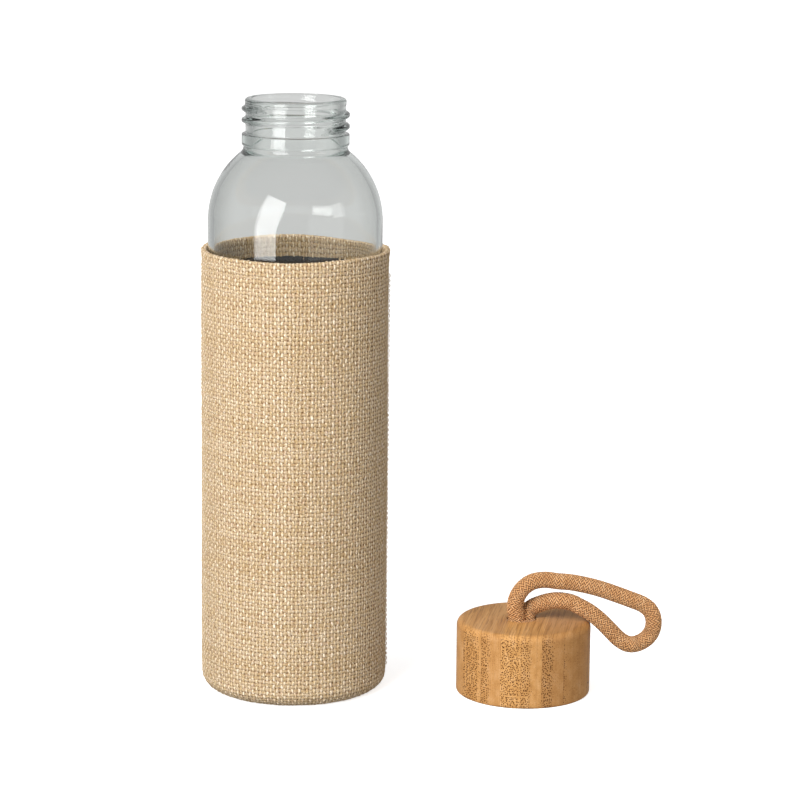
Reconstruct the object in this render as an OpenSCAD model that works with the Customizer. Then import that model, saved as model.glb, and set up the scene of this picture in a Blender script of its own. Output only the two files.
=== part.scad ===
// Glass water bottle in a woven sleeve, with its bamboo screw cap standing beside it.
// Millimetres. The origin is the centre of the sleeve's underside on the ground.
// +Z is up, +X points from the bottle towards the cap, and -Y is the front.

/* [Glass bottle] */
// Outside diameter of the glass body
glass_d = 65; // [64:0.5:66]
// Height of the glass from its foot to its lip
glass_h = 221.5; // [215:0.5:230]
// Thickness of the glass wall
glass_wall = 2.2; // [2:0.1:2.4]
// Thickness of the glass at the inner edge of its base
glass_base_t = 5; // [4:0.5:7]
// Radius of the glass heel
heel_r = 7; // [6:0.5:9]
// Height of the hollow under the base
punt_h = 3; // [2:0.5:3.5]

/* [Neck finish] */
// Outside diameter of the neck between the threads
neck_d = 37.1; // [37:0.1:37.4]
// Diameter over the threads
thread_d = 40; // [39.8:0.1:40.2]
// Rise of the thread in one turn
thread_pitch = 4.233; // [4:0.001:4.3]
// Turns of thread on the neck
thread_turns = 1.85; // [1.4:0.05:1.9]
// Inside diameter of the mouth
mouth_d = 32.5; // [32:0.1:32.8]

/* [Sleeve] */
// Height of the sleeve
sleeve_h = 168; // [150:1:172]
// Thickness of the woven cloth
cloth_t = 0.7; // [0.6:0.05:0.8]
// Thickness of the foam lining
lining_t = 1.5; // [1.4:0.1:1.8]
// Slack between the glass and what surrounds it
sleeve_gap = 0.35; // [0.3:0.05:0.5]
// Depth of the hem that is turned in at the top
hem_h = 8; // [6:0.5:10]
// Radius of the rounded lower edge
sleeve_edge_r = 5.5; // [5:0.5:6]

/* [Cap] */
// Diameter of the bamboo cap
cap_d = 50.8; // [50:0.1:52]
// Height of the bamboo cap
cap_h = 28; // [27:0.5:30]
// Rounding of the cap's upper edge
cap_top_r = 2.5; // [2:0.1:2.6]
// Thickness of the bamboo over the knot's recess
cap_top_t = 5; // [4.5:0.5:6]
// Diameter of the threaded liner
liner_d = 45; // [44.5:0.1:45.5]
// Thickness of the liner's skirt
liner_wall = 2; // [1.8:0.1:2]
// Thickness of the silicone seal
seal_t = 1.5; // [1.2:0.1:1.6]

/* [Carrying loop] */
// Diameter of the braided rope
rope_d = 6.1; // [5.6:0.1:6.2]

/* [Hidden] */
$fn = 96;

glass_r = glass_d / 2;
mouth_r = mouth_d / 2;
neck_r = neck_d / 2;
thread_r = thread_d / 2;
bead_r = thread_r - 0.05;
lip_r = neck_r + 0.25;
foot_z = cloth_t + lining_t + sleeve_gap;
// The shoulder is half a sphere, as wide as the body
shoulder_z = glass_h - 45.4;
bead_z = glass_h - 17.5;
bead_h = 4.45;
thread_low_z = foot_z + glass_h - 11.05;
thread_low_angle = -64;

sleeve_r = glass_r + sleeve_gap + lining_t + cloth_t;
lining_r = sleeve_r - cloth_t;
sleeve_bore_r = lining_r - lining_t;
sleeve_foot_r = sleeve_r - sleeve_edge_r;
base_disc_r = sleeve_foot_r - 2.5;

cap_pos = [87.45, -6.6, 0];
cap_r = cap_d / 2;
liner_r = liner_d / 2;
liner_bore_r = liner_r - liner_wall;
liner_foot_z = 0.4;
seal_z = 12.9;
seal_gap = 0.15;
liner_ceiling_z = seal_z + seal_t + seal_gap;
liner_top_t = 1.4;
recess_z = liner_ceiling_z + liner_top_t;
recess_top_z = cap_h - cap_top_t;
// The two strands of the loop leave through one hole, a little off the cap's axis
rope_hole_x = -0.75;
rope_hole_r = 6.7;

rope_sides = 12;
rope_end_z = recess_top_z - 0.3;
// Route of the rope's centreline from the cap's axis, out of the hole, round the loop and back
rope_route = [
    [-3.5, -2, rope_end_z], [-3.5, -2, 28.5], [-3.5, -2, 33.5], [-2.5, -2, 37.5], [0, -2, 41],
    [3.5, -1.5, 43], [8, -1, 43.5], [12.5, -1, 43], [17.5, -0.5, 42.5], [23, -0.5, 41.5],
    [28.5, 0, 40], [34.5, 0, 38], [40, 0, 36], [45, 0, 34], [48, -0.5, 31.5],
    [49.2, -1, 28], [48.7, -1, 24], [46.5, -1.5, 21], [43, -1.5, 19], [39.5, -2, 19],
    [36, -2, 21], [32.5, -2, 24.5], [29, -2, 28], [25, -2, 31.2], [21, -2, 33.5],
    [17.5, -1.5, 35], [13.5, -1, 35.5], [10, 0, 35], [6, 1, 33.5], [3, 2, 31.5],
    [2, 2, 28.5], [2, 2, rope_end_z]];

// Points of an arc about [cx, cy] from angle a to angle b
function arc(cx, cy, r, a, b, steps = 12) =
    [for (i = [0:steps]) let (t = a + (b - a) * i / steps) [cx + r * cos(t), cy + r * sin(t)]];

function unit(v) = v / norm(v);
function backwards(list) = [for (i = [len(list) - 1:-1:0]) list[i]];

// Triangles of the skin of a stack of rings with m points each, and its two flat ends
function tube_faces(rings, m) = concat(
    [for (i = [0:rings - 2]) for (j = [0:m - 1]) let (k = (j + 1) % m, a = i * m, b = a + m)
        for (t = [[a + j, a + k, b + k], [a + j, b + k, b + j]]) t],
    [[for (j = [m - 1:-1:0]) j]],
    [[for (j = [0:m - 1]) (rings - 1) * m + j]]);

// A screw ridge on a round wall: it rises anticlockwise, so the thread is right-handed
module thread_ridge(wall_r, crest_r, root_w, crest_w, pitch, turns, low_z, low_angle) {
    outward = sign(crest_r - wall_r);
    steps = round(turns * 24);
    run_out = 3;
    points = [for (i = [0:steps]) let (
            a = low_angle + 360 * turns * i / steps,
            z = low_z + pitch * turns * i / steps,
            grown = min(1, (i + 0.6) / run_out, (steps - i + 0.6) / run_out),
            free_r = wall_r + (crest_r - wall_r) * grown,
            held_r = wall_r - 0.4 * outward)
        for (p = [[held_r, -root_w / 2], [free_r, -crest_w / 2], [free_r, crest_w / 2],
                [held_r, root_w / 2]])
            [p[0] * cos(a), p[0] * sin(a), z + p[1]]];
    faces = tube_faces(steps + 1, 4);
    polyhedron(points, outward > 0 ? faces : [for (f = faces) backwards(f)], convexity = 6);
}

// One stitch of thread that lies on the sleeve, at an angle round it and a height
module stitch(angle, z, length, thickness, tilt) {
    rotate([0, 0, angle]) translate([sleeve_r, 0, z]) rotate([90 + tilt, 0, 0])
        cylinder(h = length, d = thickness, center = true, $fn = 16);
}

function catmull(a, b, c, d, t) =
    0.5 * (2 * b + (c - a) * t + (2 * a - 5 * b + 4 * c - d) * t * t
    + (3 * b - a - 3 * c + d) * t * t * t);

// The route with a point added halfway along each of its stretches
function smooth(p) = concat([for (i = [0:len(p) - 2]) for (t = [0, 0.5])
    catmull(p[max(i - 1, 0)], p[i], p[i + 1], p[min(i + 2, len(p) - 1)], t)], [p[len(p) - 1]]);

// A round tube of diameter d along a route that never runs along Y
module swept_tube(route, d, sides) {
    last = len(route) - 1;
    points = [for (i = [0:last]) let (
            along = i == 0 ? [0, 0, 1] : i == last ? [0, 0, -1] : unit(route[i + 1] - route[i - 1]),
            u = unit(cross([0, 1, 0], along)),
            v = cross(along, u))
        for (j = [0:sides - 1]) let (a = 360 * j / sides)
            route[i] + d / 2 * (cos(a) * u + sin(a) * v)];
    polyhedron(points, [for (f = tube_faces(last + 1, sides)) backwards(f)], convexity = 6);
}

// Outline of the glass, half a section, from its foot up the outside and down the inside
function glass_outline() = concat(
    arc(glass_r - heel_r, heel_r, heel_r, -90, 0),
    arc(0, shoulder_z, glass_r, 0, acos((neck_r + 0.65) / glass_r), 32),
    [[neck_r, bead_z], [neck_r + 0.8, bead_z + 0.7], [bead_r, bead_z + 1.5],
     [bead_r, bead_z + bead_h - 0.9], [bead_r - 0.4, bead_z + bead_h - 0.3],
     [neck_r, bead_z + bead_h], [neck_r, glass_h - 3], [lip_r, glass_h - 2.3]],
    arc(lip_r - 1, glass_h - 1, 1, 0, 90, 6),
    arc(mouth_r + 0.8, glass_h - 0.8, 0.8, 90, 180, 6),
    arc(0, shoulder_z, glass_r - glass_wall, acos(mouth_r / (glass_r - glass_wall)), 0, 32),
    arc(glass_r - glass_wall - 5, glass_base_t + 5, 5, 0, -90),
    [[0, glass_base_t + 1.5], [0, punt_h]],
    // The hollow underneath is a shallow dome that ends at a ring the bottle stands on
    let (ring_r = 22, dome_r = (ring_r * ring_r + punt_h * punt_h) / (2 * punt_h),
        dome_a = asin(ring_r / dome_r))
        arc(0, punt_h - dome_r, dome_r, 90, 90 - dome_a));

module glass_bottle() {
    color([0.80, 0.86, 0.85, 0.35]) {
        translate([0, 0, foot_z]) rotate_extrude() polygon(glass_outline());
        thread_ridge(neck_r, thread_r, 3.2, 1.2, thread_pitch, thread_turns, thread_low_z,
            thread_low_angle);
    }
}

// Half a section of a layer between two radii that curves in under the bottle to the foot ring
function sleeve_layer(outer_r, inner_r, top_z) =
    let (edge_out = outer_r - sleeve_foot_r, edge_in = inner_r - sleeve_foot_r)
    concat(arc(sleeve_foot_r, sleeve_edge_r, edge_out, -90, 0), [[outer_r, top_z], [inner_r, top_z]],
        arc(sleeve_foot_r, sleeve_edge_r, edge_in, 0, -90));

// The woven cover: a tube with its upper edge turned in over the lining
module sleeve_shell() {
    color([0.85, 0.75, 0.58]) rotate_extrude() union() {
        polygon(sleeve_layer(sleeve_r, lining_r, sleeve_h));
        translate([base_disc_r, 0]) square([sleeve_foot_r - base_disc_r, cloth_t]);
        translate([sleeve_bore_r, sleeve_h - cloth_t]) square([lining_r - sleeve_bore_r, cloth_t]);
        translate([sleeve_bore_r, sleeve_h - hem_h]) square([cloth_t, hem_h - cloth_t]);
    }
}

module sleeve_base() {
    color([0.80, 0.70, 0.53]) cylinder(h = cloth_t, r = base_disc_r);
}

// Foam lining, squeezed thinner where the hem holds its upper edge
module sleeve_lining() {
    color([0.06, 0.06, 0.07]) rotate_extrude() union() {
        polygon(sleeve_layer(lining_r, sleeve_bore_r, sleeve_h - hem_h));
        translate([sleeve_bore_r + cloth_t, sleeve_h - hem_h])
            square([lining_t - cloth_t, hem_h - cloth_t]);
    }
}

module base_pad() {
    color([0.06, 0.06, 0.07]) translate([0, 0, cloth_t]) cylinder(h = lining_t, r = sleeve_foot_r);
}

// Thread that holds the hem, all round the sleeve
module hem_stitches() {
    count = 72;
    color([0.78, 0.66, 0.47]) for (i = [0:count - 1])
        stitch(360 * i / count, sleeve_h - 6, 2.2, 0.5, 0);
}

// Overcast thread that closes the sleeve's side, as slanting stitches one above another
module side_seam() {
    count = 80;
    low_z = 8;
    rise = (sleeve_h - 9 - low_z) / (count - 1);
    color([0.70, 0.57, 0.40]) for (i = [0:count - 1]) stitch(0, low_z + rise * i, 2.4, 0.6, 30);
}

// Half a section of the bamboo cap's outside
function cap_outline() = concat([[0, 0]],
    arc(cap_r - 0.8, 0.8, 0.8, -90, 0, 6),
    arc(cap_r - cap_top_r, cap_h - cap_top_r, cap_top_r, 0, 90), [[0, cap_h]]);

module cap_shell() {
    color([0.78, 0.60, 0.37]) translate(cap_pos) difference() {
        rotate_extrude() polygon(cap_outline());
        translate([0, 0, -1]) cylinder(h = recess_top_z + 1, r = liner_r);
        translate([rope_hole_x, 0, recess_top_z - 1]) cylinder(h = cap_top_t + 2, r = rope_hole_r);
    }
}

// Moulded liner that is glued into the cap and carries its thread
module cap_liner() {
    color([0.93, 0.92, 0.88]) translate(cap_pos) {
        difference() {
            translate([0, 0, liner_foot_z]) cylinder(h = recess_z - liner_foot_z, r = liner_r);
            translate([0, 0, -1]) cylinder(h = liner_ceiling_z + 1, r = liner_bore_r);
        }
        thread_ridge(liner_bore_r, thread_r - 0.9, 3, 1, thread_pitch, 1.25, 3.2, -64);
    }
}

module cap_seal() {
    outer_r = liner_bore_r - 0.3;
    color([0.90, 0.90, 0.90]) translate(cap_pos + [0, 0, seal_z]) difference() {
        cylinder(h = seal_t, r = outer_r);
        translate([0, 0, -1]) cylinder(h = seal_t + 2, r = mouth_r - 2);
    }
}

module rope_loop() {
    color([0.68, 0.48, 0.31]) translate(cap_pos) swept_tube(smooth(rope_route), rope_d, rope_sides);
}

// The rope's ends are tied together here, in the recess under the bamboo
module rope_knot() {
    knot_r = 9.5;
    round_r = 2.4;
    low_z = recess_z + 0.3;
    color([0.64, 0.44, 0.28]) translate(cap_pos + [rope_hole_x, 0, 0]) rotate_extrude()
        polygon(concat([[0, low_z]], arc(knot_r - round_r, low_z + round_r, round_r, -90, 0, 8),
            arc(knot_r - round_r, rope_end_z - round_r, round_r, 0, 90, 8), [[0, rope_end_z]]));
}

glass_bottle();
sleeve_shell();
sleeve_base();
sleeve_lining();
base_pad();
hem_stitches();
side_seam();
cap_shell();
cap_liner();
cap_seal();
rope_loop();
rope_knot();
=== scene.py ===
import math

import bmesh
import bpy
import numpy as np
from mathutils import Matrix, Vector


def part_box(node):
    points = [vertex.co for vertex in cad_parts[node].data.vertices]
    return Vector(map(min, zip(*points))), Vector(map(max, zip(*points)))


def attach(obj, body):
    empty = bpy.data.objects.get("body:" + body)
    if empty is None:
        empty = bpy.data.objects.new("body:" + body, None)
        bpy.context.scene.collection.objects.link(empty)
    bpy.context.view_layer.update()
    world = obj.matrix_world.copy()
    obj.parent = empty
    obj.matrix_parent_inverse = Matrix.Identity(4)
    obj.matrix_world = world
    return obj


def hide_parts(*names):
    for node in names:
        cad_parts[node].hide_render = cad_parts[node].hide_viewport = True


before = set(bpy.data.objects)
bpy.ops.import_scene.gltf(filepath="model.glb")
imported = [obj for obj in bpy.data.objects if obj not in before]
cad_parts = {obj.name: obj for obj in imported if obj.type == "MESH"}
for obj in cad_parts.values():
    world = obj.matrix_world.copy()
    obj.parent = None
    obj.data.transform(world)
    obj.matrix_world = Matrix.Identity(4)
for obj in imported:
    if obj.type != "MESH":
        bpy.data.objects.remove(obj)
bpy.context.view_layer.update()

# Glass water bottle in a woven sleeve, with its bamboo screw cap and rope loop beside it.
# Metres, in the frame of the CAD model: +Z up, +X towards the cap, -Y the front.

MM = 0.001

# ---------------------------------------------------------------- sizes from the frame
glass_low, glass_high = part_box("glass_bottle")
GLASS_R, FOOT_Z, LIP_Z = glass_high.x, glass_low.z, glass_high.z
GLASS_WALL = 2.2 * MM
SHOULDER_Z = LIP_Z - 45.4 * MM
NECK_R = 18.55 * MM
THREAD_R = 20.0 * MM
MOUTH_R = 16.25 * MM
BEAD_Z, BEAD_H = LIP_Z - 17.5 * MM, 4.45 * MM
THREAD_PITCH = 4.233 * MM
THREAD_TURNS = 1.85
THREAD_LOW_Z = LIP_Z - 11.05 * MM
THREAD_LOW_ANGLE = math.radians(-64)

SLEEVE_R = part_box("sleeve_shell")[1].x
SLEEVE_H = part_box("sleeve_shell")[1].z
LINING_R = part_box("sleeve_lining")[1].x
CLOTH_T = SLEEVE_R - LINING_R
LINING_T = 1.5 * MM
SLEEVE_BORE_R = LINING_R - LINING_T
EDGE_R = 5.5 * MM
FOOT_R = SLEEVE_R - EDGE_R
DISC_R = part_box("sleeve_base")[1].x
HEM_H = 8 * MM
HEM_R = SLEEVE_BORE_R + 0.3 * MM    # the hem's face inside the sleeve

cap_low, cap_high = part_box("cap_shell")
CAP = Vector(((cap_low.x + cap_high.x) / 2, (cap_low.y + cap_high.y) / 2, 0))
CAP_R, CAP_H = (cap_high.x - cap_low.x) / 2, cap_high.z
CAP_TOP_R, CAP_FOOT_R = 2.5 * MM, 0.8 * MM
RECESS_Z = 23 * MM
LINER_R = 22.5 * MM
LINER_BORE_R = 20.5 * MM
LINER_CEILING_Z = 14.55 * MM
ROPE_HOLE_X, ROPE_HOLE_R = -0.75 * MM, 5.5 * MM
HOLE_RIM, HOLE_ROUND = 1.6 * MM, 0.4 * MM    # the ring of cap round the hole, and its rounded edge

ROPE_D = 6.1 * MM
ROPE_END_Z = 22.7 * MM
# The rope's centreline from the cap's axis, in millimetres: out of the hole, round and back
ROPE_ROUTE = [
    (-3.5, -2, 22.7), (-3.5, -2, 28.5), (-3.5, -2, 33.5), (-2.5, -2, 37.5), (0, -2, 41),
    (3.5, -1.5, 43), (8, -1, 43.5), (12.5, -1, 43), (17.5, -0.5, 42.5), (23, -0.5, 41.5),
    (28.5, 0, 40), (34.5, 0, 38), (40, 0, 36), (45, 0, 34), (48, -0.5, 31.5),
    (49.2, -1, 28), (48.7, -1, 24), (46.5, -1.5, 21), (43, -1.5, 19), (39.5, -2, 19),
    (36, -2, 21), (32.5, -2, 24.5), (29, -2, 28), (25, -2, 31.2), (21, -2, 33.5),
    (17.5, -1.5, 35), (13.5, -1, 35.5), (10, 0, 35), (6, 1, 33.5), (3, 2, 31.5),
    (2, 2, 28.5), (2, 2, 22.7)]

WARPS = 160             # upright yarns round the sleeve
ROW_PITCH = 1.46 * MM   # from one level yarn to the next
SAMPLES = 4             # mesh lines for each yarn
WARP_HALF, WEFT_HALF = 0.42, 0.49    # half of a yarn's width, where the pitch is 1


def add_object(name, data):
    """A new object in the scene."""
    obj = bpy.data.objects.new(name, data)
    bpy.context.scene.collection.objects.link(obj)
    return obj


# ---------------------------------------------------------------- camera
CAMERA_AT = (0.03958, -1.1034, 0.33895)
CAMERA_LENS = 134.78
LOOKS_DOWN, LEANS = 11.684, 0.611    # degrees below level, and round the line of sight


def make_camera():
    data = bpy.data.cameras.new("camera")
    data.sensor_width, data.lens = 36, CAMERA_LENS
    data.clip_start, data.clip_end = 0.05, 60
    camera = add_object("camera", data)
    tilt = Matrix.Rotation(math.radians(90 - LOOKS_DOWN), 4, "X")
    roll = Matrix.Rotation(math.radians(LEANS), 4, "Z")
    camera.matrix_world = Matrix.Translation(CAMERA_AT) @ tilt @ roll
    bpy.context.scene.camera = camera


make_camera()


# ---------------------------------------------------------------- mesh helpers
def arc(cx, cz, r, a, b, steps=12):
    """Points of an arc about (cx, cz), from angle a to angle b in degrees."""
    t = np.radians(np.linspace(a, b, steps + 1))
    return np.stack([cx + r * np.cos(t), cz + r * np.sin(t)], 1)


def outline(*stretches):
    """Joins stretches of (radius, height) points into one array."""
    return np.concatenate([np.atleast_2d(np.array(s, float)) for s in stretches])


def full_turn(count):
    """Even angles once round."""
    return np.linspace(0, 2 * np.pi, count, endpoint=False)


def upright(radius, start, end, count):
    """Points at one radius, from one height to another."""
    return np.stack([np.full(count, radius), np.linspace(start, end, count)], 1)


def ease(share):
    """Turns an even run from 0 to 1 into one that starts and ends slowly."""
    return share * share * (3 - 2 * share)


def lengths(points):
    """How far along the line each point is."""
    steps = np.linalg.norm(np.diff(points, axis=0), axis=1)
    return np.concatenate([[0], np.cumsum(steps)])


def resample(points, at):
    """Points of a line at the given distances along it."""
    s = lengths(points)
    return np.stack([np.interp(at, s, points[:, i]) for i in range(points.shape[1])], 1)


def surface(name, points, u, v, close_v=False):
    """A smooth mesh over rings of points. u and v are the texture coordinates round and across the rings."""
    rows, cols = points.shape[:2]
    r, c = np.meshgrid(np.arange(rows if close_v else rows - 1), np.arange(cols), indexing="ij")
    r2, c2 = (r + 1) % rows, (c + 1) % cols
    quads = np.stack([r * cols + c, r * cols + c2, r2 * cols + c2, r2 * cols + c], -1).reshape(-1, 4)
    mesh = bpy.data.meshes.new(name)
    mesh.from_pydata(points.reshape(-1, 3).tolist(), [], quads.tolist())
    corners = np.stack([
        np.stack([u[c], v[r]], -1), np.stack([u[c + 1], v[r]], -1),
        np.stack([u[c + 1], v[r + 1]], -1), np.stack([u[c], v[r + 1]], -1)], 2)
    mesh.uv_layers.new(name="uv").data.foreach_set("uv", corners.astype(np.float32).ravel())
    mesh.polygons.foreach_set("use_smooth", [True] * len(mesh.polygons))
    return finish_mesh(name, mesh)


def finish_mesh(name, mesh, weld=1e-7):
    """Welds what coincides, such as the rings at an axis, turns the faces outwards and links the object."""
    b = bmesh.new()
    b.from_mesh(mesh)
    bmesh.ops.remove_doubles(b, verts=b.verts, dist=weld)
    bmesh.ops.dissolve_degenerate(b, edges=b.edges, dist=weld)
    bmesh.ops.recalc_face_normals(b, faces=b.faces)
    b.to_mesh(mesh)
    b.free()
    mesh.update()
    return add_object(name, mesh)


def revolve(name, profile, columns=160, centre=(0, 0), shift=None, closed=True, repeats=(1, 1)):
    """Turns an outline of (radius, height) points round an upright axis.

    shift(radius, height, angle) may move the points. repeats scales the texture coordinates, which
    run from 0 to 1 round the axis and in metres along the outline."""
    angle = np.repeat(full_turn(columns)[None], len(profile), 0)
    radius = np.repeat(profile[:, :1], columns, 1)
    height = np.repeat(profile[:, 1:], columns, 1)
    if shift:
        radius, height = shift(radius, height, angle)
    points = np.stack(
        [centre[0] + radius * np.cos(angle), centre[1] + radius * np.sin(angle), height], -1)
    loop = np.concatenate([profile, profile[:1]]) if closed else profile
    return surface(
        name, points, np.linspace(0, repeats[0], columns + 1), lengths(loop) * repeats[1], close_v=closed)


def unit(vectors):
    return vectors / np.linalg.norm(vectors, axis=1, keepdims=True)


def cross_frames(path, side=(0.0, 1.0, 0.0)):
    """Two unit vectors across a path at each of its points, for a path that never runs along side."""
    along = unit(np.gradient(path, axis=0))
    one = unit(np.cross(side, along))
    return one, np.cross(along, one)


def smooth_path(points, each=8):
    """A Catmull-Rom curve through the points, in short even steps."""
    p = np.array(points, float)
    p = np.concatenate([p[:1], p, p[-1:]])
    out = []
    for a, b, c, d in zip(p, p[1:], p[2:], p[3:]):
        t = np.linspace(0, 1, each, endpoint=False)[:, None]
        out.append(0.5 * (2 * b + (c - a) * t + (2 * a - 5 * b + 4 * c - d) * t ** 2
                          + (3 * b - a - 3 * c + d) * t ** 3))
    out.append(p[-1:])
    return np.concatenate(out)


# ---------------------------------------------------------------- material helpers
class Nodes:
    """A node tree, with short calls that each add a node and return its output."""

    def __init__(self, tree):
        self.nodes, self.links = tree.nodes, tree.links

    def put(self, value, socket):
        if isinstance(value, bpy.types.NodeSocket):
            self.links.new(value, socket)
        else:
            socket.default_value = value

    def node(self, kind, **settings):
        n = self.nodes.new(kind)
        for key, value in settings.items():
            setattr(n, key, value)
        return n

    @staticmethod
    def fix(n, **values):
        """Sets a node's inputs to fixed values. An underscore stands for the space in a name."""
        for name, value in values.items():
            n.inputs[name.replace("_", " ")].default_value = value

    def math(self, operation, a, b=0.0):
        n = self.node("ShaderNodeMath", operation=operation)
        for value, socket in zip((a, b), n.inputs):
            self.put(value, socket)
        return n.outputs[0]

    def add(self, a, b):
        return self.math("ADD", a, b)

    def minus(self, a, b):
        return self.math("SUBTRACT", a, b)

    def times(self, a, b):
        return self.math("MULTIPLY", a, b)

    def opposite(self, share):
        return self.minus(1.0, share)

    def size(self, value):
        return self.math("ABSOLUTE", value)

    def vector(self, x=0.0, y=0.0, z=0.0):
        n = self.node("ShaderNodeCombineXYZ")
        for value, socket in zip((x, y, z), n.inputs):
            self.put(value, socket)
        return n.outputs[0]

    def split(self, value):
        n = self.node("ShaderNodeSeparateXYZ")
        self.put(value, n.inputs[0])
        return n.outputs

    def step(self, value, low, high, first=0.0, last=1.0):
        """first below low and last above high, smooth between."""
        n = self.node("ShaderNodeMapRange", interpolation_type="SMOOTHSTEP")
        self.put(value, n.inputs["Value"])
        self.fix(n, From_Min=low, From_Max=high, To_Min=first, To_Max=last)
        return n.outputs[0]


class Tree(Nodes):
    """The node tree of one material."""

    def __init__(self, name):
        self.material = bpy.data.materials.new(name)
        self.material.use_nodes = True
        super().__init__(self.material.node_tree)
        self.shader = next(n for n in self.nodes if n.type == "BSDF_PRINCIPLED")

    def uv(self):
        return self.split(self.node("ShaderNodeUVMap", uv_map="uv").outputs[0])

    def position(self):
        return self.node("ShaderNodeTexCoord").outputs["Object"]

    def noise(self, at, scale=1.0, detail=2.0, roughness=0.5):
        n = self.node("ShaderNodeTexNoise")
        self.put(at, n.inputs["Vector"])
        self.fix(n, Scale=scale, Detail=detail, Roughness=roughness)
        return n.outputs[0]

    def random(self, at):
        n = self.node("ShaderNodeTexWhiteNoise", noise_dimensions="3D")
        self.put(at, n.inputs["Vector"])
        return n.outputs[0]

    def cells(self, at, scale=1.0, flat=False):
        n = self.node("ShaderNodeTexVoronoi", voronoi_dimensions="2D" if flat else "3D")
        self.put(at, n.inputs["Vector"])
        self.fix(n, Scale=scale, Randomness=0.8)
        return n.outputs

    def ramp(self, value, *stops, mode="LINEAR"):
        """Maps a value to a colour or grey through (position, colour) stops."""
        n = self.node("ShaderNodeValToRGB")
        n.color_ramp.interpolation = mode
        self.put(value, n.inputs[0])
        elements = n.color_ramp.elements
        while len(elements) < len(stops):
            elements.new(0.5)
        for element, (position, colour) in zip(elements, stops):
            element.position = position
            element.color = (colour,) * 3 + (1,) if isinstance(colour, (int, float)) else (*colour, 1)
        return n.outputs[0]

    def mix(self, share, a, b):
        """Colour a, with a share of colour b over it."""
        n = self.node("ShaderNodeMix", data_type="RGBA")
        for name, kind, value in (("Factor", "VALUE", share), ("A", "RGBA", a), ("B", "RGBA", b)):
            socket = next(s for s in n.inputs if s.name == name and s.type == kind)
            self.put((*value, 1) if isinstance(value, tuple) else value, socket)
        return next(o for o in n.outputs if o.type == "RGBA")

    def bump(self, height, distance, strength=1.0):
        n = self.node("ShaderNodeBump")
        self.fix(n, Strength=strength, Distance=distance)
        self.put(height, n.inputs["Height"])
        self.put(n.outputs[0], self.shader.inputs["Normal"])

    def finish(self, color, roughness, **fixed):
        self.put((*color, 1) if isinstance(color, tuple) else color, self.shader.inputs["Base Color"])
        self.put(roughness, self.shader.inputs["Roughness"])
        self.fix(self.shader, **fixed)
        return self.material


def dress(obj, material, body, slot, *nodes):
    """Gives a piece its material, the body it moves with and the CAD nodes it stands for. Its slot is not
    used.
    """
    obj.data.materials.clear()
    obj.data.materials.append(material)
    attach(obj, body)
    if nodes:
        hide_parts(*nodes)


# ---------------------------------------------------------------- rope
PLAITS = 12                 # strands that run each way round the rope
PLAIT_LENGTH = 0.90 * MM    # along the rope from one crossing to the next
ROPE_COLUMNS = 112          # mesh lines round the rope
ROPE_STEP = 0.14 * MM       # from one ring of its mesh to the next
SQUEEZE = 0.27              # how far both strands are pressed together in the cap's hole
SQUEEZE_R, SQUEEZE_H = 10 * MM, 6 * MM    # how near the hole, and how high above it, that is felt


def braid_height(across, along):
    """Height, 0 to 1, of a round braid whose strands pass over two and under two."""
    a, b = across + along, across - along
    first = (np.floor(a) - np.floor(b)) % 4 < 2
    crown = np.where(first, a % 1, b % 1) * 2 - 1
    return np.sqrt(np.clip(1 - crown ** 2, 0, 1))


def braided_tube(name, path):
    """A braided cord along a path. Its texture coordinates count plaits round it and along it."""
    total = lengths(path)[-1]
    rows = int(total / ROPE_STEP)
    line = resample(path, np.linspace(0, total, rows))
    one, two = cross_frames(line)
    angle = full_turn(ROPE_COLUMNS)
    plaits = np.linspace(0, total / PLAIT_LENGTH, rows)
    relief = braid_height(angle[None] / (2 * np.pi) * PLAITS, plaits[:, None])
    radius = ROPE_D / 2 + (relief - 0.75) * 0.36 * MM
    points = line[:, None] + radius[..., None] * (
        np.cos(angle)[None, :, None] * one[:, None] + np.sin(angle)[None, :, None] * two[:, None])
    return surface(name, points, np.linspace(0, PLAITS, ROPE_COLUMNS + 1), plaits)


def rope_material():
    t = Tree("braided_rope")
    around, along, _ = t.uv()
    a, b = t.add(around, along), t.minus(around, along)
    i, j = t.math("FLOOR", a), t.math("FLOOR", b)
    first = t.math("LESS_THAN", t.math("FLOORED_MODULO", t.minus(i, j), 4.0), 2.0)
    edge_a, edge_b = (t.size(t.minus(t.math("FRACT", x), 0.5)) for x in (a, b))
    edge = t.add(t.times(first, edge_a), t.times(t.opposite(first), edge_b))
    strand = t.random(t.vector(i, j, first))
    fibre = t.noise(t.vector(t.times(a, 3.0), t.times(b, 3.0), t.times(strand, 9.0)), 1.0, 3.0, 0.7)
    broad = t.noise(t.position(), 260.0)
    tint = t.add(t.add(t.times(strand, 0.20), t.times(fibre, 0.50)), t.times(broad, 0.30))
    color = t.ramp(
        tint, (0.2, (0.42, 0.180, 0.062)), (0.5, (0.66, 0.345, 0.145)), (0.8, (0.84, 0.540, 0.300)))
    # Painted shade in the valleys between the braid's strands
    color = t.mix(t.times(t.step(edge, 0.20, 0.46), 0.82), color, (0.085, 0.024, 0.008))
    t.bump(t.add(fibre, t.times(t.step(edge, 0.5, 0.1), 1.2)), 0.2 * MM, 1.0)
    return t.finish(color, 0.85, Sheen_Weight=0.06, Sheen_Roughness=0.5, Specular_IOR_Level=0.2)


def squeezed(path):
    """Presses both strands together where they pass through the cap, so that they fill its hole."""
    away = path[:, :2] - (CAP.x + ROPE_HOLE_X, CAP.y)
    free = np.clip((path[:, 2] - CAP_H) / SQUEEZE_H, 0, 1)
    near = (np.hypot(away[:, 0], away[:, 1]) < SQUEEZE_R) * (1 - ease(free))
    path = path.copy()
    path[:, :2] -= away * SQUEEZE * near[:, None]
    return path


rope_finish = rope_material()
route = squeezed(np.array(CAP) + smooth_path(ROPE_ROUTE) * MM)
rope = braided_tube("rope_loop_braid", route)
dress(rope, rope_finish, "loop", "rope", "rope_loop")


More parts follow.
